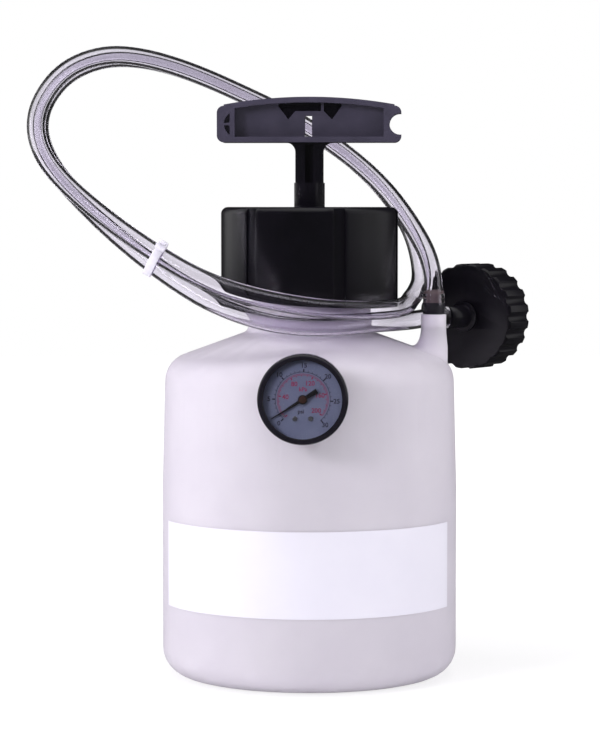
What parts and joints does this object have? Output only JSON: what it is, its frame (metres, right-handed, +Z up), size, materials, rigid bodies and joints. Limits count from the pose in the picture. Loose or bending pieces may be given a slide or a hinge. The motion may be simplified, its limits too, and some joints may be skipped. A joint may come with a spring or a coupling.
{
  "type": "hand vacuum pump",
  "caption": "Hand-pumped pressure tank with a T-handle plunger in its screw cap, a dial gauge and a coiled clear hose ending in a screw adapter.",
  "frame": {"origin": "middle of the tank's base, on the surface it stands on", "axes": "+Z up along the tank's axis, the gauge faces -Y, the hose outlet is towards +X"},
  "size_m": [0.2573, 0.1741, 0.3233],
  "materials": {
    "tank_hdpe": "blow-moulded translucent natural polyethylene",
    "label_vinyl": "plain white vinyl",
    "black_moulding": "satin injection-moulded black plastic",
    "black_glossy": "smooth moulded black plastic",
    "hose_vinyl": "clear extruded vinyl",
    "nylon_natural": "natural moulded nylon",
    "barb_nylon": "smoke-brown moulded nylon",
    "pickup_poly": "extruded polyethylene",
    "rubber_black": "moulded nitrile rubber",
    "brass": "machined brass",
    "steel_black": "black enamelled drawn steel",
    "gauge_lens": "clear pressed lens",
    "dial_enamel": "printed blue-grey dial plate",
    "steel_bright": "bright turned steel",
    "needle_black": "black enamelled needle",
    "piston_acetal": "machined acetal"
  },
  "bodies": {
    "tank": {"tank": "tank_hdpe", "label": "label_vinyl", "outlet_barb": "barb_nylon", "outlet_collar": "rubber_black", "pickup_tube": "pickup_poly", "hose": "hose_vinyl", "zip_tie": "nylon_natural", "hose_elbow": "black_glossy", "elbow_nut": "brass", "gauge_seal": "rubber_black", "gauge_stem": "brass", "gauge_nut": "brass", "gauge_case": "steel_black", "gauge_bezel": "steel_black", "gauge_lens": "gauge_lens", "lens_seal": "rubber_black", "gauge_dial": "dial_enamel", "dial_screws": "steel_bright", "bourdon_tube": "brass", "movement_plates": "brass", "stop_pin": "steel_bright"},
    "needle": {"needle": "needle_black", "pinion": "brass"},
    "sector": {"sector_gear": "brass"},
    "pump": {"pump_barrel": "black_moulding", "barrel_guide": "black_moulding", "rod_wiper": "rubber_black", "neck_gasket": "rubber_black"},
    "cap": {"screw_cap": "black_moulding"},
    "piston": {"piston": "piston_acetal", "piston_seal": "rubber_black"},
    "plunger": {"plunger_rod": "black_glossy", "rod_clip": "steel_bright", "handle": "black_glossy"},
    "check_valve": {"valve_disc": "rubber_black"},
    "adapter": {"adapter_cap": "black_moulding", "adapter_gasket": "rubber_black"}
  },
  "joints": [
    {"name": "pump_lift", "type": "slide", "parent": "tank", "child": "pump", "axis": [0, 0, 1], "range_m": [0, 0.0091]},
    {"name": "cap_turn", "type": "hinge", "parent": "pump", "child": "cap", "pos_m": [0, 0, 0.2], "axis": [0, 0, 1], "range_deg": [0, 540]},
    {"name": "piston_stroke", "type": "slide", "parent": "pump", "child": "piston", "axis": [0, 0, 1], "range_m": [0, 0.11]},
    {"name": "handle_turn", "type": "hinge", "parent": "piston", "child": "plunger", "pos_m": [0, 0, 0.2], "axis": [0, 0, 1], "range_deg": [0, 90]},
    {"name": "valve_open", "type": "slide", "parent": "pump", "child": "check_valve", "axis": [0, 0, -1], "range_m": [0, 0.0015], "stiffness_N_per_m": 80},
    {"name": "needle_turn", "type": "hinge", "parent": "tank", "child": "needle", "pos_m": [0, -0.09, 0.147], "axis": [0, 1, 0], "range_deg": [0, 260], "stiffness_Nm_per_rad": 0.00002},
    {"name": "sector_turn", "type": "hinge", "parent": "tank", "child": "sector", "pos_m": [0, -0.09, 0.13885], "axis": [0, 1, 0], "range_deg": [-66, 1]},
    {"name": "adapter_spin", "type": "hinge", "parent": "tank", "child": "adapter", "pos_m": [0.0799, 0.0324, 0.182], "axis": [-0.527, -0.8499, 0], "continuous": true}
  ],
  "couplings": [
    {"joint": "pump_lift", "follows": "cap_turn", "m_per_rad": 0.00095493},
    {"joint": "sector_turn", "follows": "needle_turn", "ratio": -0.25}
  ]
}
